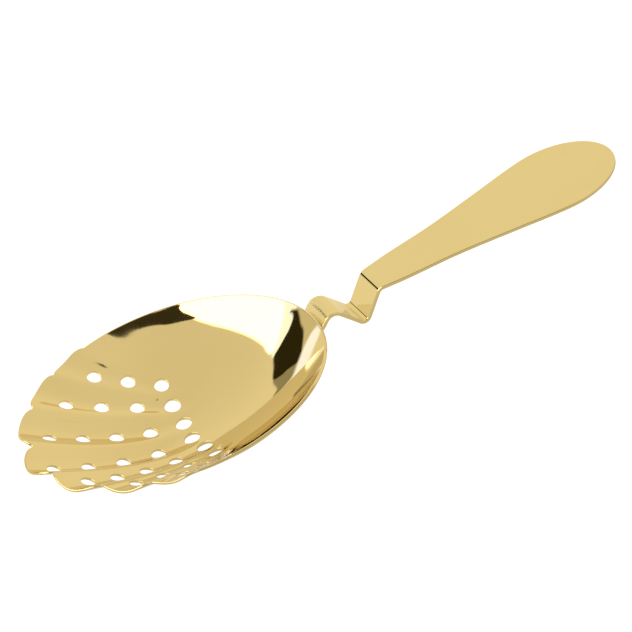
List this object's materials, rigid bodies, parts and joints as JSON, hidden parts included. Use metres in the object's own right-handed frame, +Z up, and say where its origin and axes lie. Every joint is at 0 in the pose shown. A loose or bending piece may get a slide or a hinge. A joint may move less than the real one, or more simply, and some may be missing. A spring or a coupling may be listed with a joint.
{
  "type": "julep strainer",
  "caption": "Scalloped julep strainer: a fluted, perforated oval bowl with a bent strip handle that ends in a broad flat paddle.",
  "frame": {"origin": "middle of the strainer's outline, at the level of the table it rests on", "axes": "+X runs from the bowl out along the handle, +Z is up off the table, and the XZ plane is the strainer's plane of symmetry"},
  "size_m": [0.1634, 0.0716, 0.0226],
  "materials": {
    "gold_bowl": "mirror-polished gold plate",
    "gold_handle": "mirror-polished gold plate",
    "gold_weld": "plated weld metal, slightly duller"
  },
  "bodies": {
    "root": {"strainer_bowl": "gold_bowl", "handle": "gold_handle", "spot_weld_1": "gold_weld", "spot_weld_2": "gold_weld"}
  },
  "joints": []
}
